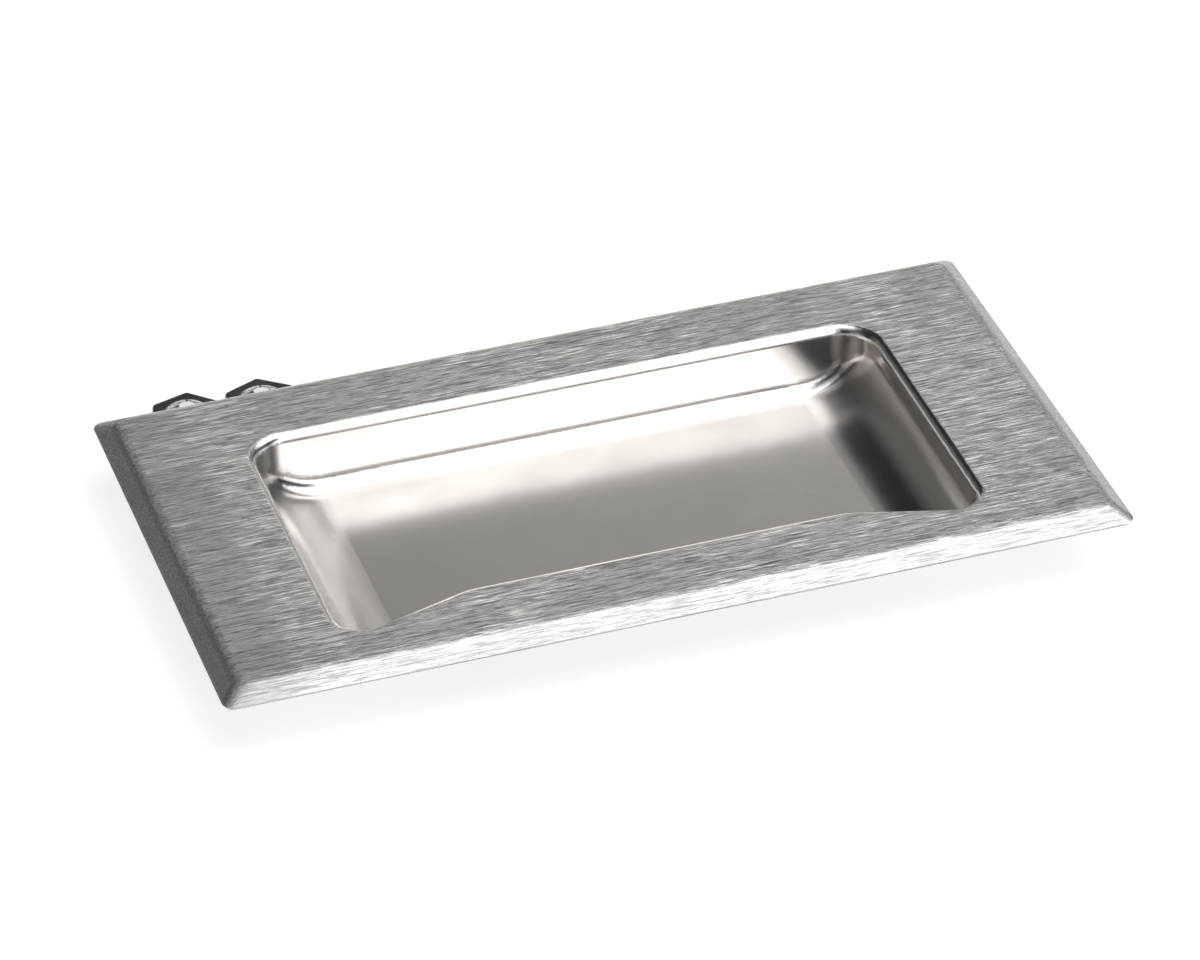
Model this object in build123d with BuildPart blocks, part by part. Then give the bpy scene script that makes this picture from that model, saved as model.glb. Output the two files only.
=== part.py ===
"""Recessed pull handle: a one-piece stamped pan with two weld studs and two push nuts.

Frame: the pan lies face up with the flat underside of its cup on z = 0. +X runs along
the plate, -Y is the side of the grip lip and +Z points out of the face. The origin is
under the centre of the plate.
"""
from build123d import *
import math
import os

# ---- driving dimensions, in millimetres and degrees --------------------------------
# sheet and face plate
SHEET = 0.9                # thickness of the stainless sheet
PLATE_LENGTH = 165.0       # over the rim, along X
PLATE_WIDTH = 89.0         # over the rim, along Y
RIM_CORNER = 2.0           # corner radius of the rim, in plan
BEVEL_RUN = 3.4            # width of the bevelled border
BEVEL_DROP = 2.4           # how far the border falls from the face to the rim
FOLD_CORNER = 2.5          # corner radius of the fold line, in plan
FOLD_RADIUS = 4.0          # outside bend radius along the fold

# opening in the face, measured to the walls of the cup
OPENING_LENGTH = 116.8
FAR_WALL = 26.4            # far wall from the middle of the plate
LIP_WALL = 26.7            # crest of the grip lip from the middle of the plate
LIP_END = 23.4             # end wall to the near end of the lip's straight crest, along X
LIP_ANGLE = 19.0           # how steeply the lip falls back at each end, in plan
LIP_BLEND = 15.0           # plan radius where a ramp meets the crest
FAR_CORNER = 6.5           # plan corner radius at the far wall
ROLL_RADIUS = 1.8          # rolled edge between the face and the walls

# cup
CUP_DEPTH = 12.0           # face to floor, inside
FAR_DRAFT = 1.1            # how far the far wall comes in at the foot
END_DRAFT = 0.8            # how far an end wall comes in at the foot
LIP_UNDERCUT = 4.0         # how far the near wall goes out beneath the crest
FOOT_ANGLE = 4.0           # what is left of the lip's ramps at the foot of the wall
FOOT_CORNER = 6.0          # plan corner radius at the foot of the far wall
END_WALL = 3.0             # height of the upright end wall above its scooped ramp
END_RAMP = 13.0            # length of the scooped ramp from the end wall to the floor
CREASE_RADIUS = 3.0        # inside radius where the walls meet the floor and the ramps
LIP_CORNER_EASE = 1.5      # how much wider than the crease the near plan corners are
LIP_FOOT_EASE = 1.0        # how much wider still those corners are at the foot

# weld studs
STUD_DIAMETER = 3.2
STUD_LENGTH = 9.5          # below the underside of the plate
STUD_TIP = 0.5             # chamfer on the tip
COLLAR_DIAMETER = 4.6      # upset collar at the weld
COLLAR_HEIGHT = 0.6

# push nuts
NUT_SHEET = 0.5            # thickness of the spring steel
NUT_FLATS = 12.7           # across the flats
NUT_CORNER = 1.0           # corner radius of the hexagon
NUT_SKIRT = 1.3            # height of the turned-down edge
NUT_BEND = 0.7             # outside bend radius of the turned-down edge
CROWN_DIAMETER = 9.0       # where the crown rises from the flat
CROWN_HEIGHT = 3.3         # from the table to the top of the crown
STUD_GRIP = 0.2            # how much tighter the nut's hole is than the stud
SLIT_WIDTH = 0.35
SLIT_COUNT = 6
SLIT_END = 0.6             # from the end of a slit to the foot of the crown
NUT_ROW_GAP = 10.8         # far rim of the plate to the middles of the loose nuts
NUT_ROW_START = 20.3       # left rim of the plate to the middle of the first nut
NUT_SPACING = 14.1
NUT_TURNS = (16.5, 22.6)   # how each loose nut happens to lie, in plan

# ---- derived values ----------------------------------------------------------------
FACE = CUP_DEPTH + SHEET                    # height of the face over the cup's underside
UNDERSIDE = FACE - SHEET                    # height of the plate's underside
BEVEL_LENGTH = math.hypot(BEVEL_RUN, BEVEL_DROP)
BEVEL_IN = BEVEL_RUN / BEVEL_LENGTH         # the border's slope as a unit direction
BEVEL_DOWN = BEVEL_DROP / BEVEL_LENGTH
RIM_TOP = FACE - BEVEL_DROP                 # upper edge of the cut rim
RIM_FOOT = RIM_TOP - SHEET * BEVEL_IN       # the cut is square to the sloping sheet
RIM_LEAN = SHEET * BEVEL_DOWN               # how far the cut leans in
FOLD_SHIFT = SHEET * (1 - BEVEL_IN) / BEVEL_DOWN    # underside's fold inside the face's
RAMP_RISE = CUP_DEPTH - END_WALL
RAMP_RADIUS = (END_RAMP**2 + RAMP_RISE**2) / (2 * RAMP_RISE)
RAMP_ANGLE = 2 * math.degrees(math.atan2(RAMP_RISE, END_RAMP))      # slope at its top
FLOOR_HALF = OPENING_LENGTH / 2 - END_RAMP  # half length of the flat floor
CREST_HALF = OPENING_LENGTH / 2 - LIP_END   # half length of the lip's straight crest
LIP_CORNER = CREASE_RADIUS + LIP_CORNER_EASE    # near plan corners at the mouth
LIP_FOOT_CORNER = LIP_CORNER + LIP_FOOT_EASE    # the same corners at the foot
STUD_X = (OPENING_LENGTH / 2 + ROLL_RADIUS + PLATE_LENGTH / 2 - BEVEL_RUN) / 2
NUT_HOLE = STUD_DIAMETER - STUD_GRIP
NUT_ROW_Y = PLATE_WIDTH / 2 + NUT_ROW_GAP
NUT_ROW_X = NUT_ROW_START - PLATE_LENGTH / 2


def plate_block(low, low_inset, low_corner, high, high_inset, high_corner):
    """A solid between two of the plate's rounded rectangles, one over the other."""
    low_size = (PLATE_LENGTH - 2 * low_inset, PLATE_WIDTH - 2 * low_inset)
    high_size = (PLATE_LENGTH - 2 * high_inset, PLATE_WIDTH - 2 * high_inset)
    with BuildPart() as block:
        with BuildSketch(Plane.XY.offset(low)):
            RectangleRounded(*low_size, low_corner)
        with BuildSketch(Plane.XY.offset(high)):
            RectangleRounded(*high_size, high_corner)
        loft(ruled=True)
    return block


def plate_border():
    """The plate as a full block: flat face, folded border and cut rim."""
    cut_corner = RIM_CORNER - RIM_LEAN
    border = plate_block(RIM_TOP, 0, RIM_CORNER, FACE, BEVEL_RUN, FOLD_CORNER)
    cut_rim = plate_block(RIM_FOOT, RIM_LEAN, cut_corner, RIM_TOP, 0, RIM_CORNER)
    with BuildPart() as block:
        add(border.part)
        fold = block.faces().sort_by(Axis.Z)[-1].edges()
        fillet(fold, FOLD_RADIUS)
        add(cut_rim.part)
    return block.part


def plate_hollow():
    """The space under the plate, one sheet inside its block."""
    cut_corner = RIM_CORNER - RIM_LEAN
    fold_inset = BEVEL_RUN + FOLD_SHIFT
    fold_corner = FOLD_CORNER - FOLD_SHIFT
    hollow = plate_block(
        RIM_FOOT, RIM_LEAN, cut_corner, UNDERSIDE, fold_inset, fold_corner
    )
    with BuildPart() as block:
        add(hollow.part)
        fold = block.faces().sort_by(Axis.Z)[-1].edges()
        fillet(fold, FOLD_RADIUS - SHEET)
    return block.part


def cup_outline(height, half_length, far, crest, angle, corners, outset):
    """The cup's plan outline at one height, moved outwards by an outset.

    The near side steps in to a straight crest between two ramps at an angle. Each ramp
    runs straight into the rounded near corner.
    """
    slope = math.tan(math.radians(angle))
    crest_half = CREST_HALF - outset * math.tan(math.radians(angle / 2))
    side = half_length + outset
    top = far + outset
    lip = -crest - outset
    low = lip - (side - crest_half) * slope
    points = (
        (-side, top),
        (-side, low),
        (-crest_half, lip),
        (crest_half, lip),
        (side, low),
        (side, top),
    )
    far_round = corners[0] + outset
    near_round = corners[1] + outset
    lip_round = LIP_BLEND - outset
    radii = (far_round, near_round, lip_round, lip_round, near_round, far_round)
    with BuildSketch(Plane.XY.offset(height)) as outline:
        with BuildLine():
            FilletPolyline(*points, radius=radii, close=True)
        make_face()
    return outline.sketch.face()


def cup_body(outset, top):
    """The space inside the cup or, with the sheet as outset, the cup's outside."""
    foot = cup_outline(
        0,
        OPENING_LENGTH / 2 - END_DRAFT,
        FAR_WALL - FAR_DRAFT,
        LIP_WALL + LIP_UNDERCUT,
        FOOT_ANGLE,
        (FOOT_CORNER, LIP_FOOT_CORNER),
        outset,
    )
    mouth = cup_outline(
        FACE,
        OPENING_LENGTH / 2,
        FAR_WALL,
        LIP_WALL,
        LIP_ANGLE,
        (FAR_CORNER, LIP_CORNER),
        outset,
    )
    arc_height = SHEET + RAMP_RADIUS
    arc_radius = RAMP_RADIUS + outset
    with BuildPart() as body:
        loft([foot, mouth], ruled=True)
        with BuildSketch(Plane.XZ):
            with BuildLine():
                right = CenterArc((FLOOR_HALF, arc_height), arc_radius, -90, RAMP_ANGLE)
                left = CenterArc((-FLOOR_HALF, arc_height), arc_radius, -90, -RAMP_ANGLE)
                right_up = PolarLine(right @ 1, CUP_DEPTH, RAMP_ANGLE)
                left_up = PolarLine(left @ 1, CUP_DEPTH, 180 - RAMP_ANGLE)
                Line(left @ 0, right @ 0)
                Line(left_up @ 1, right_up @ 1)
            make_face()
        extrude(amount=PLATE_WIDTH, both=True, mode=Mode.INTERSECT)
        split(bisect_by=Plane.XY.offset(top), keep=Keep.BOTTOM)
        bed = body.faces().sort_by(Axis.Z)[0]
        crease = bed.edges().filter_by(Axis.Y, reverse=True)
        for ramp in body.faces().filter_by(GeomType.CYLINDER):
            crease += ramp.edges().filter_by(GeomType.LINE, reverse=True)
        fillet(crease, CREASE_RADIUS + outset)
    return body.part


# ---- pan: plate, border, lip and cup, stamped from one sheet -------------------------
with BuildPart() as pull_pan:
    add(plate_border())
    add(plate_hollow(), mode=Mode.SUBTRACT)
    add(cup_body(SHEET, FACE - SHEET / 2))
    underside = pull_pan.faces().filter_by(Axis.Z).sort_by(Axis.Z)[-2]
    cup_root = underside.inner_wires()[0].edges()
    fillet(cup_root, ROLL_RADIUS - SHEET)
    add(cup_body(0, FACE), mode=Mode.SUBTRACT)
    mouth_edge = pull_pan.faces().sort_by(Axis.Z)[-1].inner_wires()[0].edges()
    fillet(mouth_edge, ROLL_RADIUS)
pull_pan.part.label = "pull_pan"
pieces = [pull_pan.part]

# ---- weld studs, one in the middle of each end of the plate --------------------------
for side, name in ((-1, "weld_stud_left"), (1, "weld_stud_right")):
    seat = Plane((side * STUD_X, 0, UNDERSIDE), z_dir=(0, 0, -1))
    with BuildPart() as stud:
        with BuildSketch(seat):
            Circle(STUD_DIAMETER / 2)
        extrude(amount=STUD_LENGTH)
        chamfer(stud.edges().sort_by(Axis.Z)[0], STUD_TIP)
        with BuildSketch(seat):
            Circle(COLLAR_DIAMETER / 2)
        extrude(amount=COLLAR_HEIGHT)
    stud.part.label = name
    pieces.append(stud.part)

# ---- push nuts, lying loose behind the plate -----------------------------------------
for index, turn in enumerate(NUT_TURNS):
    centre = Vector(NUT_ROW_X + index * NUT_SPACING, NUT_ROW_Y)
    table = Plane(centre, x_dir=Vector(1, 0).rotate(Axis.Z, turn), z_dir=(0, 0, 1))
    upright = Plane(centre, x_dir=table.x_dir, z_dir=-table.y_dir)
    slit_length = CROWN_DIAMETER / 2 - SLIT_END
    with BuildPart() as nut:
        # hexagonal cap with a turned-down edge
        with BuildSketch(table) as hexagon:
            RegularPolygon(NUT_FLATS / 2, 6, major_radius=False)
            fillet(hexagon.vertices(), NUT_CORNER)
        extrude(amount=NUT_SKIRT)
        fillet(nut.faces().sort_by(Axis.Z)[-1].edges(), NUT_BEND)
        with BuildSketch(table) as inside:
            RegularPolygon(NUT_FLATS / 2 - NUT_SHEET, 6, major_radius=False)
            fillet(inside.vertices(), NUT_CORNER - NUT_SHEET)
        extrude(amount=NUT_SKIRT - NUT_SHEET, mode=Mode.SUBTRACT)
        # raised crown round the hole
        with BuildSketch(table):
            Circle(CROWN_DIAMETER / 2)
        extrude(amount=NUT_SKIRT, mode=Mode.SUBTRACT)
        with BuildSketch(upright):
            with BuildLine():
                foot = (CROWN_DIAMETER / 2, NUT_SKIRT)
                tip = (NUT_HOLE / 2, CROWN_HEIGHT)
                inner_foot = (CROWN_DIAMETER / 2, NUT_SKIRT - NUT_SHEET)
                inner_tip = (NUT_HOLE / 2, CROWN_HEIGHT - NUT_SHEET)
                Polyline(foot, tip, inner_tip, inner_foot, close=True)
            make_face()
        revolve(axis=Axis(centre, (0, 0, 1)))
        # slits that free the crown's prongs
        with BuildSketch(table):
            with PolarLocations(slit_length / 2, SLIT_COUNT):
                Rectangle(slit_length, SLIT_WIDTH)
        extrude(amount=CROWN_HEIGHT, mode=Mode.SUBTRACT)
    nut.part.label = f"push_nut_{index + 1}"
    pieces.append(nut.part)

os.makedirs("parts", exist_ok=True)
for piece in pieces:
    export_step(piece, f"parts/{piece.label}.step")
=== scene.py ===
"""Recessed pull handle: finishes, stage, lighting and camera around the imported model.

The file is laid out as an add-on and run as a script. Every size is in metres, in the
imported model's own frame: +X along the plate, -Y towards the grip lip, +Z out of the face.
"""

import math

import bpy
from bpy.props import FloatProperty, FloatVectorProperty, PointerProperty
from mathutils import Matrix, Vector


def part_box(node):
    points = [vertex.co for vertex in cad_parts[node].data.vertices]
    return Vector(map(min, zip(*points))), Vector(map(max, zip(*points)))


bl_info = {
    "name": "Recessed pull handle",
    "version": (1, 0, 0),
    "blender": (4, 5, 0),
    "location": "3D View > Sidebar > Pull handle",
    "description": "Finishes a stamped steel pull, its studs and push nuts, and lights them",
    "category": "Object",
}

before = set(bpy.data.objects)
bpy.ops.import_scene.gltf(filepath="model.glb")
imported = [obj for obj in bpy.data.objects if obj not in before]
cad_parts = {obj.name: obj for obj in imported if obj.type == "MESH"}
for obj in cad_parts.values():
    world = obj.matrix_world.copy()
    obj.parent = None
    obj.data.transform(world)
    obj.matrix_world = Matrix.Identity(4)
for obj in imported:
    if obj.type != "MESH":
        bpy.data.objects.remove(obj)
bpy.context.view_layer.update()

MM = 0.001
PAN_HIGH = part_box("pull_pan")[1]
FACE = PAN_HIGH.z                     # height of the flat face
RIM_X = PAN_HIGH.x                    # middle of the plate to its rim, along X
RIM_Y = PAN_HIGH.y                    # and along Y
STUD_PLACE = sum(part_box("weld_stud_right"), Vector()).x / 2   # middle of the plate to a stud
BORDER = 3.4 * MM                     # width of the bevelled border
MOUTH_X, MOUTH_Y = 62 * MM, 31 * MM   # half sizes of a box just outside the rolled mouth
CUP_X, CUP_Y = 56 * MM, 27 * MM       # rough half sizes of the cup


# ---- node helpers --------------------------------------------------------------------
def new_tree(material):
    """Empties a material and returns its tree with a Principled BSDF wired to the output."""
    material.use_nodes = True
    tree = material.node_tree
    tree.nodes.clear()
    output = tree.nodes.new("ShaderNodeOutputMaterial")
    shader = tree.nodes.new("ShaderNodeBsdfPrincipled")
    tree.links.new(shader.outputs["BSDF"], output.inputs["Surface"])
    return tree, shader


def put(tree, source, target):
    """Links a source socket to a target, or sets the target's value."""
    if isinstance(source, bpy.types.NodeSocket):
        tree.links.new(source, target)
    else:
        target.default_value = source


def calc(tree, operation, *values, clamp=False):
    """One step of arithmetic on sockets or numbers."""
    node = tree.nodes.new("ShaderNodeMath")
    node.operation = operation
    node.use_clamp = clamp
    for value, socket in zip(values, node.inputs):
        put(tree, value, socket)
    return node.outputs[0]


def vector_calc(tree, operation, *values):
    """One step of arithmetic on vectors."""
    node = tree.nodes.new("ShaderNodeVectorMath")
    node.operation = operation
    for value, socket in zip(values, node.inputs):
        put(tree, value, socket)
    return node.outputs["Value" if operation in ("DOT_PRODUCT", "LENGTH") else "Vector"]


def ramp(tree, value, low, high, to_low=0.0, to_high=1.0):
    """A smooth step of value from low to high."""
    node = tree.nodes.new("ShaderNodeMapRange")
    node.interpolation_type = "SMOOTHSTEP"
    for number, name in zip(
        (value, low, high, to_low, to_high),
        ("Value", "From Min", "From Max", "To Min", "To Max"),
    ):
        put(tree, number, node.inputs[name])
    return node.outputs["Result"]


def blend(tree, factor, low, high):
    """A colour between low and high; sockets 6 and 7 of a Mix node are its colours."""
    node = tree.nodes.new("ShaderNodeMix")
    node.data_type = "RGBA"
    put(tree, factor, node.inputs[0])
    put(tree, low, node.inputs[6])
    put(tree, high, node.inputs[7])
    return node.outputs[2]


def shade(colour, factor=1.0):
    """A colour made lighter or darker, with an opaque alpha."""
    return tuple(min(1.0, channel * factor) for channel in colour[:3]) + (1.0,)


def product(tree, *values):
    """The product of several masks."""
    result = values[0]
    for value in values[1:]:
        result = calc(tree, "MULTIPLY", result, value)
    return result


def band(tree, value, low, high, soft):
    """One between low and high, falling to nothing over soft at each side."""
    up = ramp(tree, value, low - soft, low)
    down = ramp(tree, value, high, high + soft, 1.0, 0.0)
    return calc(tree, "MULTIPLY", up, down)


def noise(tree, where, detail, roughness=0.5):
    """Noise of one unit's size over a position that is already scaled."""
    node = tree.nodes.new("ShaderNodeTexNoise")
    put(tree, where, node.inputs["Vector"])
    node.inputs["Scale"].default_value = 1.0
    node.inputs["Detail"].default_value = detail
    node.inputs["Roughness"].default_value = roughness
    return node.outputs["Fac"]


def place(tree):
    """Position on the object, in metres."""
    return tree.nodes.new("ShaderNodeTexCoord").outputs["Object"]


def split(tree, vector):
    """The three parts of a vector."""
    node = tree.nodes.new("ShaderNodeSeparateXYZ")
    put(tree, vector, node.inputs[0])
    return node.outputs


def join(tree, x, y, z):
    """A vector from its three parts."""
    node = tree.nodes.new("ShaderNodeCombineXYZ")
    for value, socket in zip((x, y, z), node.inputs):
        put(tree, value, socket)
    return node.outputs[0]


def bump(tree, height, distance, strength=1.0, normal=None):
    """A normal roughened by a height, on top of another normal if one is given."""
    node = tree.nodes.new("ShaderNodeBump")
    put(tree, height, node.inputs["Height"])
    node.inputs["Distance"].default_value = distance
    put(tree, strength, node.inputs["Strength"])
    if normal is not None:
        put(tree, normal, node.inputs["Normal"])
    return node.outputs["Normal"]


def new_group(name, inputs, outputs):
    """An empty node group; inputs are (name, socket type, default)."""
    group = bpy.data.node_groups.new(name, "ShaderNodeTree")
    for label, kind, default in inputs:
        socket = group.interface.new_socket(label, in_out="INPUT", socket_type=kind)
        socket.default_value = default
    for label, kind in outputs:
        group.interface.new_socket(label, in_out="OUTPUT", socket_type=kind)
    start = group.nodes.new("NodeGroupInput")
    end = group.nodes.new("NodeGroupOutput")
    return group, start.outputs, end.inputs


def use(tree, group, **values):
    """Places a group in a tree; keyword names are its sockets, with _ for a space."""
    node = tree.nodes.new("ShaderNodeGroup")
    node.node_tree = group
    for name, value in values.items():
        put(tree, value, node.inputs[name.replace("_", " ")])
    return node.outputs


# ---- shared effects ------------------------------------------------------------------
def brush_grain():
    """Short parallel scratches: an even grain and fine deep lines, and sparse longer streaks that
    serve as painted glint streaks of light.
    """
    group, given, out = new_group(
        "Brush Grain",
        (
            ("Position", "NodeSocketVector", (0.0, 0.0, 0.0)),
            ("Along", "NodeSocketFloat", 6 * MM),
            ("Across", "NodeSocketFloat", 0.3 * MM),
            ("Seed", "NodeSocketFloat", 0.0),
        ),
        (
            ("Grain", "NodeSocketFloat"),
            ("Painted Glints", "NodeSocketFloat"),
            ("Lines", "NodeSocketFloat"),
        ),
    )
    stretch = join(group, given["Along"], given["Across"], given["Across"])
    scaled = vector_calc(group, "DIVIDE", given["Position"], stretch)
    shifted = vector_calc(group, "ADD", scaled, join(group, given["Seed"], 0.0, given["Seed"]))
    fine = noise(group, shifted, 2.0, 0.85)
    longer = vector_calc(group, "MULTIPLY", shifted, (0.9, 1.3, 1.3))
    sparse = noise(group, vector_calc(group, "ADD", longer, (31.0, 7.0, 0.0)), 1.0)
    thin = vector_calc(group, "MULTIPLY", shifted, (0.6, 1.7, 1.7))
    lines = noise(group, vector_calc(group, "ADD", thin, (5.0, 53.0, 11.0)), 1.0)
    put(group, ramp(group, fine, 0.38, 0.62), out["Grain"])
    put(group, ramp(group, sparse, 0.55, 0.66), out["Painted Glints"])
    put(group, ramp(group, lines, 0.4, 0.6), out["Lines"])
    return group


def satin_skin():
    """A drawn sheet's fine pebble, with broad soft clouds where the tool rubbed it."""
    group, given, out = new_group(
        "Satin Skin",
        (
            ("Position", "NodeSocketVector", (0.0, 0.0, 0.0)),
            ("Pebble", "NodeSocketFloat", 0.35 * MM),
            ("Cloud", "NodeSocketFloat", 14 * MM),
        ),
        (("Grain", "NodeSocketFloat"), ("Clouds", "NodeSocketFloat")),
    )
    sizes = []
    for label in ("Pebble", "Cloud"):
        size = join(group, given[label], given[label], given[label])
        sizes.append(vector_calc(group, "DIVIDE", given["Position"], size))
    put(group, noise(group, sizes[0], 2.0), out["Grain"])
    put(group, ramp(group, noise(group, sizes[1], 3.0), 0.35, 0.68), out["Clouds"])
    return group


def smudges_and_glint_patches():
    """Scattered patches: dull marks, as handling and the press leave them, and the spread of the
    painted glint streaks.
    """
    group, given, out = new_group(
        "Smudges And Glint Patches",
        (
            ("Position", "NodeSocketVector", (0.0, 0.0, 0.0)),
            ("Size", "NodeSocketFloat", 5 * MM),
            ("Cover", "NodeSocketFloat", 0.3),
        ),
        (("Mask", "NodeSocketFloat"),),
    )
    size = join(group, given["Size"], given["Size"], given["Size"])
    broad = noise(group, vector_calc(group, "DIVIDE", given["Position"], size), 4.0, 0.6)
    low = calc(group, "SUBTRACT", 0.78, calc(group, "MULTIPLY", given["Cover"], 0.5))
    put(group, ramp(group, broad, low, calc(group, "ADD", low, 0.12)), out["Mask"])
    return group


def effects():
    """The shared groups by name, each built once."""
    builders = {
        "Brush Grain": brush_grain,
        "Satin Skin": satin_skin,
        "Smudges And Glint Patches": smudges_and_glint_patches,
    }
    for name, build in builders.items():
        if name not in bpy.data.node_groups:
            build()
    return bpy.data.node_groups


# ---- materials -----------------------------------------------------------------------
FACE_DARKEST, FACE_BRIGHTEST = 0.45, 2.05   # of the face's colour, from the scratches up to the painted glint streaks and the border's painted highlight
FACE_DULL_AND_SHADE = 0.55                      # and in the dull marks and the painted shade of the left end
GRAIN_LIFT, LINE_LIFT = 0.34, 0.22    # how much each kind of scratch brightens the face
# the lift of the painted glint streaks, and of the painted highlight on the border
PAINTED_GLINT_LIFT, BORDER_HIGHLIGHT_LIFT = 0.75, 0.2
MARK_COVER, DAB_COVER = 0.36, 0.75    # how strong the dull marks and dabs are, and the painted shade of the left end
LEFT_SHADE_START = 0.5 * MM - RIM_X         # where the left end's dulling and painted shade are full
LEFT_SHADE_END = LEFT_SHADE_START + 24 * MM       # and where they have gone
CLOUD_SHARE, PEBBLE_SHARE = 0.6, 0.4  # of the satin skin's lightness
BURNT_RING = 2.6 * MM                 # radii of the weld's heat tint on the back
STRAW_RING = 3.4 * MM, 4.2 * MM
RING_FADE = 1.2 * MM
BURNT_TINT = (0.16, 0.15, 0.2, 1.0)
STRAW_TINT = (0.42, 0.33, 0.2, 1.0)
ROOT_TINT = (0.2, 0.165, 0.17, 1.0)   # heat tint at the root of a stud
ROOT_RANGE = FACE - 3.6 * MM, FACE - 1.6 * MM   # heights where that tint comes in
CROWN_RANGE = 1.5 * MM, 1.9 * MM      # heights where a loose nut's crown begins
MILL_ROUGHNESS = 0.36                 # of the back
STUD_ROUGHNESS = 0.24
NUT_ROUGHNESS = 0.26


def outermost(tree, aside, across, start, end):
    """One near the rim, rising between two distances in from it."""
    return calc(
        tree,
        "MAXIMUM",
        ramp(tree, aside, RIM_X - start, RIM_X - end),
        ramp(tree, across, RIM_Y - start, RIM_Y - end),
    )


def pan_zones(tree, x, y, z, facing):
    """Masks of the pan's zones, from where a point lies and which way it looks."""
    aside = calc(tree, "ABSOLUTE", x)
    across = calc(tree, "ABSOLUTE", y)
    below = calc(tree, "SUBTRACT", FACE, z)
    middle = product(
        tree,
        ramp(tree, aside, MOUTH_X, MOUTH_X + 2 * MM, 1.0, 0.0),
        ramp(tree, across, MOUTH_Y, MOUTH_Y + 2 * MM, 1.0, 0.0),
    )
    # in the cup the front looks inwards or up, and on the plate it looks up
    nx, ny, nz = facing
    outward = calc(
        tree,
        "ADD",
        calc(tree, "MULTIPLY", calc(tree, "DIVIDE", x, CUP_X), nx),
        calc(tree, "MULTIPLY", calc(tree, "DIVIDE", y, CUP_Y), ny),
    )
    leaning = calc(tree, "SUBTRACT", nz, calc(tree, "MULTIPLY", outward, 1.2))
    front_cup = ramp(tree, leaning, -0.1, 0.1)
    front_plate = ramp(tree, nz, -0.1, 0.1)
    front = calc(
        tree,
        "ADD",
        calc(tree, "MULTIPLY", front_cup, middle),
        calc(tree, "MULTIPLY", front_plate, calc(tree, "SUBTRACT", 1.0, middle)),
    )
    sunk = ramp(tree, below, 0.005 * MM, 0.09 * MM)
    border = outermost(tree, aside, across, BORDER + 0.2 * MM, BORDER - 0.5 * MM)
    return {
        "front": front,
        "back": calc(tree, "SUBTRACT", 1.0, front),
        "cup": product(tree, middle, sunk, front),
        "border": calc(tree, "MULTIPLY", border, front),
        "edge": outermost(tree, aside, across, 0.5 * MM, 0.15 * MM),
        "depth": calc(tree, "DIVIDE", below, FACE),
    }


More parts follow.
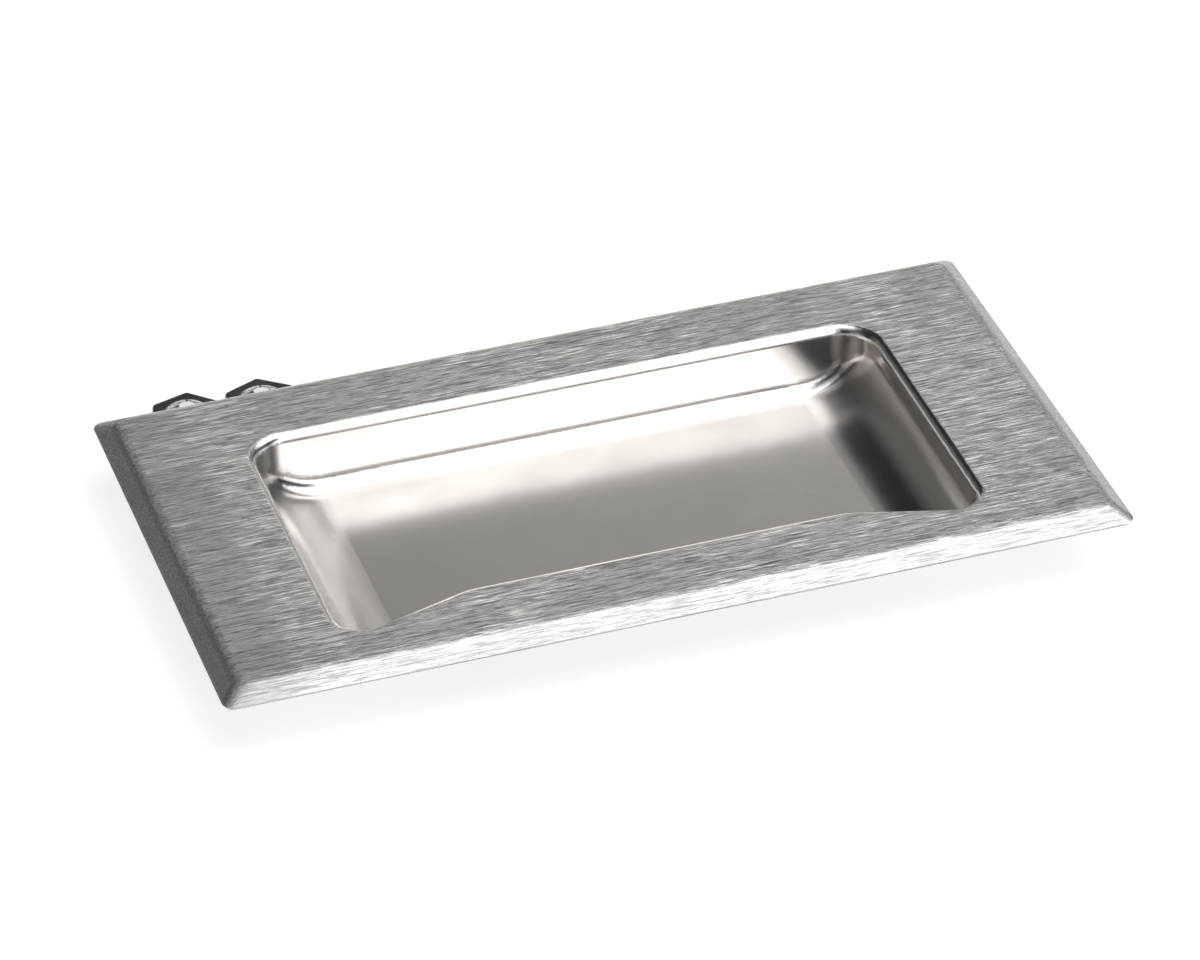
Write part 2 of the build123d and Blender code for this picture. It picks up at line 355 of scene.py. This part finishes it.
def pan_material(look):
    """Stainless sheet: brushed face and border, satin cup, dull back, with painted glint streaks on
    the face, painted highlights on the border and cut rim, and painted shade on the left end.
    """
    material = bpy.data.materials.new("Stamped Stainless")
    tree, shader = new_tree(material)
    groups = effects()
    where = place(tree)
    x, y, z = split(tree, where)
    facing = split(tree, tree.nodes.new("ShaderNodeNewGeometry").outputs["True Normal"])
    zones = pan_zones(tree, x, y, z, facing)
    cup = zones["cup"]
    brushed = calc(tree, "SUBTRACT", zones["front"], cup)

    grain = use(
        tree,
        groups["Brush Grain"],
        Position=where,
        Along=look.streak_length,
        Across=look.streak_width,
    )
    skin = use(tree, groups["Satin Skin"], Position=where)
    marks = use(tree, groups["Smudges And Glint Patches"], Position=where, Size=6 * MM, Cover=0.22)["Mask"]
    dabs = use(tree, groups["Smudges And Glint Patches"], Position=where, Size=1.6 * MM, Cover=0.35)["Mask"]
    # broad patches that spread the painted glint streaks
    broad = use(tree, groups["Smudges And Glint Patches"], Position=where, Size=22 * MM, Cover=0.62)["Mask"]

    # the brushed sheet: light and dark lines, painted glint streaks thick in places and beside the
    # mouth, a painted highlight on the border, dull handling marks, and painted shade on the left end
    patchy = calc(tree, "MULTIPLY_ADD", broad, 0.75, 0.2)
    beside_mouth_glint = band(tree, calc(tree, "ABSOLUTE", x), MOUTH_X - 2 * MM, MOUTH_X + 5 * MM, 4 * MM)
    painted_glints = product(tree, grain["Painted Glints"], calc(tree, "MAXIMUM", patchy, beside_mouth_glint))
    lightness = calc(tree, "MULTIPLY", grain["Lines"], LINE_LIFT)
    lightness = calc(tree, "MULTIPLY_ADD", grain["Grain"], GRAIN_LIFT, lightness)
    glow = calc(tree, "MULTIPLY", painted_glints, PAINTED_GLINT_LIFT)
    lightness = calc(tree, "ADD", lightness, glow, clamp=True)
    # painted highlight: the bevelled border is lightened all round
    lightness = calc(tree, "MULTIPLY_ADD", zones["border"], BORDER_HIGHLIGHT_LIFT, lightness, clamp=True)
    face_colour = blend(
        tree,
        lightness,
        shade(look.face_colour, FACE_DARKEST),
        shade(look.face_colour, FACE_BRIGHTEST),
    )
    # painted shade: the left end is darkened as well as dulled, with dull marks and dabs over it
    left = ramp(tree, x, LEFT_SHADE_START, LEFT_SHADE_END, 1.0, 0.0)
    dull_and_shade = calc(tree, "MULTIPLY", calc(tree, "MAXIMUM", marks, left), MARK_COVER)
    dull_and_shade = calc(tree, "MAXIMUM", dull_and_shade, product(tree, dabs, left, DAB_COVER))
    face_colour = blend(tree, dull_and_shade, face_colour, shade(look.face_colour, FACE_DULL_AND_SHADE))

    # the satin cup: even metal, faintly clouded, with draw marks that deepen down the walls
    satin = calc(tree, "MULTIPLY", skin["Grain"], PEBBLE_SHARE)
    satin = calc(tree, "MULTIPLY_ADD", skin["Clouds"], CLOUD_SHARE, satin)
    cup_colour = blend(tree, satin, shade(look.cup_colour, 1.04), shade(look.cup_colour, 0.95))
    drawn = use(
        tree,
        groups["Brush Grain"],
        Position=join(tree, z, x, y),
        Along=7 * MM,
        Across=0.5 * MM,
        Seed=3.0,
    )
    colour = blend(tree, cup, face_colour, cup_colour)

    # the back: dull mill sheet, with the heat tint of the two welds
    reach = calc(tree, "SUBTRACT", calc(tree, "ABSOLUTE", x), STUD_PLACE)
    ring = vector_calc(tree, "LENGTH", join(tree, reach, y, 0.0))
    burnt = band(tree, ring, 0.0, BURNT_RING, RING_FADE)
    straw = band(tree, ring, *STRAW_RING, RING_FADE)
    mill = blend(tree, skin["Clouds"], shade(look.back_colour), shade(look.back_colour, 0.84))
    mill = blend(tree, calc(tree, "MULTIPLY", straw, 0.7), mill, STRAW_TINT)
    mill = blend(tree, calc(tree, "MULTIPLY", burnt, 0.75), mill, BURNT_TINT)
    colour = blend(tree, zones["back"], colour, mill)

    # painted highlight: the cut rim, a little brighter
    cut_rim_highlight = calc(tree, "MULTIPLY", zones["edge"], 0.35)
    colour = blend(tree, cut_rim_highlight, colour, shade(look.face_colour, 1.45))
    put(tree, colour, shader.inputs["Base Color"])

    rough_face = calc(tree, "MULTIPLY_ADD", lightness, -0.1, look.face_roughness)
    rough_face = calc(tree, "MULTIPLY_ADD", dull_and_shade, 0.25, rough_face)
    rough_cup = calc(tree, "MULTIPLY_ADD", skin["Clouds"], 0.03, look.cup_roughness)
    rough_back = calc(tree, "MULTIPLY_ADD", skin["Clouds"], 0.1, MILL_ROUGHNESS)
    rough = calc(tree, "MULTIPLY", rough_face, brushed)
    rough = calc(tree, "MULTIPLY_ADD", rough_cup, cup, rough)
    rough = calc(tree, "MULTIPLY_ADD", rough_back, zones["back"], rough)
    put(tree, rough, shader.inputs["Roughness"])

    # scratches on the brushed sheet, worn down on the border; draw marks in the cup; pebble
    height = calc(tree, "MULTIPLY", grain["Lines"], 0.4)
    height = calc(tree, "MULTIPLY_ADD", grain["Grain"], 0.6, height)
    worn = calc(tree, "MULTIPLY_ADD", zones["border"], -0.55, 1.0)
    scratched = bump(tree, height, look.scratch_depth, calc(tree, "MULTIPLY", brushed, worn))
    deep = calc(tree, "MULTIPLY", cup, zones["depth"])
    ribbed = bump(tree, drawn["Grain"], 0.002 * MM, deep, scratched)
    pebbled = bump(tree, skin["Grain"], 0.005 * MM, calc(tree, "SUBTRACT", 1.0, brushed), ribbed)
    put(tree, pebbled, shader.inputs["Normal"])
    shader.inputs["Metallic"].default_value = 1.0
    return material


def stud_material(look):
    """Drawn steel with fine rings, tinted by the weld at its root."""
    material = bpy.data.materials.new("Drawn Stud Steel")
    tree, shader = new_tree(material)
    groups = effects()
    x, y, z = split(tree, place(tree))
    turned = join(tree, x, z, y)
    grain = use(
        tree,
        groups["Brush Grain"],
        Position=turned,
        Along=5 * MM,
        Across=0.16 * MM,
        Seed=5.0,
    )
    skin = use(tree, groups["Satin Skin"], Position=turned, Pebble=0.2 * MM, Cloud=4 * MM)
    colour = blend(tree, grain["Grain"], shade(look.stud_colour, 0.76), shade(look.stud_colour, 1.05))
    tint = ramp(tree, z, *ROOT_RANGE)
    colour = blend(tree, calc(tree, "MULTIPLY", tint, 0.7), colour, ROOT_TINT)
    put(tree, colour, shader.inputs["Base Color"])
    rough = calc(tree, "MULTIPLY_ADD", grain["Grain"], 0.12, STUD_ROUGHNESS)
    put(tree, calc(tree, "MULTIPLY_ADD", skin["Clouds"], 0.1, rough), shader.inputs["Roughness"])
    put(tree, bump(tree, grain["Grain"], 0.012 * MM), shader.inputs["Normal"])
    shader.inputs["Metallic"].default_value = 1.0
    return material


def nut_material(look):
    """Blackened spring steel, with the raised crown turned to light uncoated steel as a painted
    highlight, broken up by wear.
    """
    material = bpy.data.materials.new("Black Spring Steel")
    tree, shader = new_tree(material)
    groups = effects()
    where = place(tree)
    height = split(tree, where)[2]
    skin = use(tree, groups["Satin Skin"], Position=where, Pebble=0.25 * MM, Cloud=2.2 * MM)
    worn = use(tree, groups["Smudges And Glint Patches"], Position=where, Size=0.9 * MM, Cover=0.75)["Mask"]
    crown = ramp(tree, height, *CROWN_RANGE)
    # painted highlight: the crown's light steel, a little patchy with wear
    crown_highlight = calc(tree, "MULTIPLY", crown, calc(tree, "MULTIPLY_ADD", worn, 0.3, 0.7))
    oxide = blend(tree, skin["Clouds"], shade(look.nut_colour), shade(look.nut_colour, 2.0))
    steel = blend(tree, skin["Grain"], shade(look.stud_colour), shade(look.stud_colour, 1.5))
    put(tree, blend(tree, crown_highlight, oxide, steel), shader.inputs["Base Color"])
    put(tree, crown_highlight, shader.inputs["Metallic"])
    rough = calc(tree, "MULTIPLY_ADD", skin["Clouds"], 0.14, NUT_ROUGHNESS)
    put(tree, rough, shader.inputs["Roughness"])
    put(tree, bump(tree, skin["Grain"], 0.012 * MM), shader.inputs["Normal"])
    return material


def dress(names, material):
    """Gives a material to each named node, in all of its slots."""
    for name in names:
        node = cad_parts[name]
        if not node.material_slots:
            node.data.materials.append(material)
        for slot in node.material_slots:
            slot.material = material


# ---- settings ------------------------------------------------------------------------
class PullFinishSettings(bpy.types.PropertyGroup):
    face_colour: FloatVectorProperty(
        name="Face colour",
        description="Colour of the brushed steel",
        subtype="COLOR",
        default=(0.43, 0.423, 0.418),
        min=0.0,
        max=1.0,
    )
    cup_colour: FloatVectorProperty(
        name="Cup colour",
        description="Colour of the satin steel inside the cup",
        subtype="COLOR",
        default=(0.775, 0.753, 0.735),
        min=0.0,
        max=1.0,
    )
    face_roughness: FloatProperty(
        name="Face roughness",
        description="How dull the brushed face is",
        default=0.42,
        min=0.05,
        max=1.0,
        subtype="FACTOR",
    )
    cup_roughness: FloatProperty(
        name="Cup roughness",
        description="How dull the satin cup is",
        default=0.2,
        min=0.05,
        max=1.0,
        subtype="FACTOR",
    )
    back_colour: FloatVectorProperty(
        name="Back colour",
        description="Colour of the unbrushed back of the sheet",
        subtype="COLOR",
        default=(0.5, 0.49, 0.475),
        min=0.0,
        max=1.0,
    )
    scratch_depth: FloatProperty(
        name="Scratch depth",
        description="How deep the brush scratches look",
        default=0.05 * MM,
        unit="LENGTH",
        min=0.0,
    )
    streak_length: FloatProperty(
        name="Scratch length",
        description="Typical length of a brush scratch",
        default=5 * MM,
        unit="LENGTH",
        min=0.5 * MM,
    )
    streak_width: FloatProperty(
        name="Scratch width",
        description="Typical width of a brush scratch",
        default=0.26 * MM,
        unit="LENGTH",
        min=0.02 * MM,
    )
    stud_colour: FloatVectorProperty(
        name="Stud colour",
        description="Colour of the drawn studs",
        subtype="COLOR",
        default=(0.6, 0.59, 0.57),
        min=0.0,
        max=1.0,
    )
    nut_colour: FloatVectorProperty(
        name="Nut colour",
        description="Colour of the black push nuts",
        subtype="COLOR",
        default=(0.018, 0.018, 0.019),
        min=0.0,
        max=1.0,
    )


class PullStageSettings(bpy.types.PropertyGroup):
    azimuth: FloatProperty(
        name="Azimuth",
        description="Where the camera stands round the handle",
        default=math.radians(-18.284),
        unit="ROTATION",
    )
    elevation: FloatProperty(
        name="Elevation",
        description="How high the camera looks down from",
        default=math.radians(35.215),
        unit="ROTATION",
    )
    roll: FloatProperty(
        name="Roll",
        description="How far the camera leans",
        default=math.radians(-0.519),
        unit="ROTATION",
    )
    distance: FloatProperty(
        name="Distance",
        description="From the camera to the face",
        default=1.01623,
        unit="LENGTH",
        min=0.1,
    )
    aim: FloatVectorProperty(
        name="Aim",
        description="Point on the face in the middle of the picture",
        subtype="TRANSLATION",
        unit="LENGTH",
        default=(-3.03 * MM, -5.05 * MM, FACE),
    )
    lens: FloatProperty(
        name="Lens",
        description="Focal length of the camera",
        default=173.5,
        unit="CAMERA",
        min=20.0,
    )


# ---- operators -----------------------------------------------------------------------
class PULL_OT_finish_pan(bpy.types.Operator):
    """Finish the stamped pan: brushed face, satin cup, dull back"""

    bl_idname = "pull.finish_pan"
    bl_label = "Finish the pan"

    def execute(self, context):
        dress(("pull_pan",), pan_material(context.scene.pull_finish))
        return {"FINISHED"}


class PULL_OT_finish_studs(bpy.types.Operator):
    """Finish the two weld studs on the back of the plate"""

    bl_idname = "pull.finish_studs"
    bl_label = "Finish the studs"

    def execute(self, context):
        dress(("weld_stud_left", "weld_stud_right"), stud_material(context.scene.pull_finish))
        return {"FINISHED"}


class PULL_OT_finish_nuts(bpy.types.Operator):
    """Finish the two black push nuts"""

    bl_idname = "pull.finish_nuts"
    bl_label = "Finish the push nuts"

    def execute(self, context):
        dress(("push_nut_1", "push_nut_2"), nut_material(context.scene.pull_finish))
        return {"FINISHED"}


# ---- stage ---------------------------------------------------------------------------
WARM = (1.0, 0.95, 0.88)
PLAIN = (1.0, 1.0, 1.0)
COOL = (0.95, 0.985, 1.0)
# azimuth from the back towards +X, elevation, half angle, strength, tint
LAMPS = (
    (150, 2, 20, 1.2, PLAIN),         # low card in front of the lip
    (155, 22, 10, 2.0, PLAIN),        # three panes in front, seen in the far wall
    (170, 28, 11, 1.7, PLAIN),
    (163, 47, 9, 2.0, PLAIN),
    (135, 66, 14, 1.9, PLAIN),        # over the near border
    (90, 55, 19, 2.4, PLAIN),         # large card high on the right
    (45, 65, 14, 1.4, PLAIN),         # its spill towards the back
    (0, 90, 10, 1.6, PLAIN),          # overhead
    (245, 80, 13, 1.0, PLAIN),
    (225, 65, 14, 0.45, PLAIN),       # high left
    (180, 65, 14, 0.35, PLAIN),       # high in front
    (12, 4, 10, 1.3, WARM),           # low cards behind, for the lip's roll
    (18, 18, 16, 0.5, WARM),
    (40, 34, 20, 0.2, PLAIN),         # dim fills all round
    (85, 2, 20, 0.1, COOL),
    (240, 4, 20, 0.3, WARM),
    (240, 28, 20, 0.12, WARM),
    (315, 18, 18, 0.12, WARM),
)
EDGE_SPREAD = 1.5                     # a lamp fades to nothing at this many half angles
ROOM_GLOW = 0.02
WALL_FULL, WALL_GONE = 0.09, 0.15     # sines of the heights where the white wall fades out
TABLE_GLOW = 0.75                     # what the table adds where it is seen, to read white
TABLE_COLOUR = (0.5, 0.5, 0.5, 1.0)
TABLE_REACH = 12.0                    # middle of the table to its edges
TABLE_DROP = 0.05 * MM                # just below the part, so that no faces coincide


def compass(azimuth, elevation):
    """The unit vector at an azimuth from the back and an elevation, in degrees."""
    around, up = math.radians(azimuth), math.radians(elevation)
    return (
        math.sin(around) * math.cos(up),
        math.cos(around) * math.cos(up),
        math.sin(up),
    )


def stage_world(scene):
    """The studio all round: soft lamps in a dim room, with a low white wall."""
    world = bpy.data.worlds.new("Studio")
    scene.world = world
    world.use_nodes = True
    tree = world.node_tree
    tree.nodes.clear()
    direction = tree.nodes.new("ShaderNodeTexCoord").outputs["Generated"]
    light = (ROOM_GLOW,) * 3
    for azimuth, elevation, spread, level, tint in LAMPS:
        facing = vector_calc(tree, "DOT_PRODUCT", direction, compass(azimuth, elevation))
        mask = ramp(tree, facing, math.cos(math.radians(EDGE_SPREAD * spread)), 1.0)
        strength = tuple(level * channel for channel in tint)
        light = vector_calc(tree, "MULTIPLY_ADD", mask, strength, light)
    wall = ramp(tree, split(tree, direction)[2], WALL_FULL, WALL_GONE, 1.0, 0.0)
    light = vector_calc(tree, "MAXIMUM", light, join(tree, wall, wall, wall))
    room = tree.nodes.new("ShaderNodeBackground")
    put(tree, light, room.inputs["Color"])
    output = tree.nodes.new("ShaderNodeOutputWorld")
    put(tree, room.outputs["Background"], output.inputs["Surface"])


def stage_floor(scene):
    """A white table, open from below."""
    mesh = bpy.data.meshes.new("floor")
    signs = ((-1, -1), (1, -1), (1, 1), (-1, 1))
    corners = [(TABLE_REACH * across, TABLE_REACH * along, 0) for across, along in signs]
    mesh.from_pydata(corners, [], [(0, 1, 2, 3)])
    floor = bpy.data.objects.new("floor", mesh)
    floor.location.z = -TABLE_DROP
    scene.collection.objects.link(floor)
    material = bpy.data.materials.new("White Table")
    tree, shader = new_tree(material)
    shader.inputs["Base Color"].default_value = TABLE_COLOUR
    shader.inputs["Roughness"].default_value = 0.9
    shader.inputs["Specular IOR Level"].default_value = 0.0
    rays = tree.nodes.new("ShaderNodeLightPath").outputs
    seen = calc(tree, "ADD", rays["Is Camera Ray"], rays["Is Glossy Ray"])
    seen = calc(tree, "ADD", seen, rays["Is Transmission Ray"], clamp=True)
    glow = tree.nodes.new("ShaderNodeEmission")
    put(tree, calc(tree, "MULTIPLY", seen, TABLE_GLOW), glow.inputs["Strength"])
    both = tree.nodes.new("ShaderNodeAddShader")
    put(tree, shader.outputs["BSDF"], both.inputs[0])
    put(tree, glow.outputs["Emission"], both.inputs[1])
    clear = tree.nodes.new("ShaderNodeBsdfTransparent")
    choose = tree.nodes.new("ShaderNodeMixShader")
    put(tree, tree.nodes.new("ShaderNodeNewGeometry").outputs["Backfacing"], choose.inputs["Fac"])
    put(tree, both.outputs["Shader"], choose.inputs[1])
    put(tree, clear.outputs["BSDF"], choose.inputs[2])
    output = next(n for n in tree.nodes if n.type == "OUTPUT_MATERIAL")
    put(tree, choose.outputs["Shader"], output.inputs["Surface"])
    mesh.materials.append(material)


def stage_camera(scene, stage):
    """The camera, aimed at a point on the face."""
    back = Vector(
        (
            math.sin(stage.azimuth) * math.cos(stage.elevation),
            -math.cos(stage.azimuth) * math.cos(stage.elevation),
            math.sin(stage.elevation),
        )
    )
    data = bpy.data.cameras.new("camera")
    data.sensor_width = 36.0
    data.lens = stage.lens
    data.clip_start = 0.05
    data.clip_end = 20.0
    camera = bpy.data.objects.new("camera", data)
    aimed = back.to_track_quat("Z", "Y").to_matrix().to_4x4()
    turn = aimed @ Matrix.Rotation(stage.roll, 4, "Z")
    camera.matrix_world = Matrix.Translation(Vector(stage.aim) + back * stage.distance) @ turn
    scene.collection.objects.link(camera)
    scene.camera = camera


class PULL_OT_set_stage(bpy.types.Operator):
    """Set the white table, the studio light and the camera"""

    bl_idname = "pull.set_stage"
    bl_label = "Set the stage"

    def execute(self, context):
        scene = context.scene
        scene.view_settings.view_transform = "Standard"
        stage_world(scene)
        stage_floor(scene)
        stage_camera(scene, scene.pull_stage)
        return {"FINISHED"}


# ---- panel and registration ----------------------------------------------------------
class PULL_PT_panel(bpy.types.Panel):
    """Lists the steps that finish the handle"""

    bl_idname = "PULL_PT_panel"
    bl_label = "Recessed pull handle"
    bl_space_type = "VIEW_3D"
    bl_region_type = "UI"
    bl_category = "Pull handle"

    def draw(self, context):
        layout = self.layout
        for operator in OPERATORS:
            layout.operator(operator.bl_idname)
        for settings in (context.scene.pull_finish, context.scene.pull_stage):
            for name in settings.__annotations__:
                layout.prop(settings, name)


OPERATORS = (
    PULL_OT_finish_pan,
    PULL_OT_finish_studs,
    PULL_OT_finish_nuts,
    PULL_OT_set_stage,
)
SETTINGS = (PullFinishSettings, PullStageSettings)


def register():
    for cls in SETTINGS + OPERATORS + (PULL_PT_panel,):
        bpy.utils.register_class(cls)
    bpy.types.Scene.pull_finish = PointerProperty(type=PullFinishSettings)
    bpy.types.Scene.pull_stage = PointerProperty(type=PullStageSettings)


def unregister():
    del bpy.types.Scene.pull_finish
    del bpy.types.Scene.pull_stage
    for cls in reversed(SETTINGS + OPERATORS + (PULL_PT_panel,)):
        bpy.utils.unregister_class(cls)


def main():
    register()
    bpy.ops.pull.finish_pan()
    bpy.ops.pull.finish_studs()
    bpy.ops.pull.finish_nuts()
    bpy.ops.pull.set_stage()


if __name__ == "__main__":
    main()
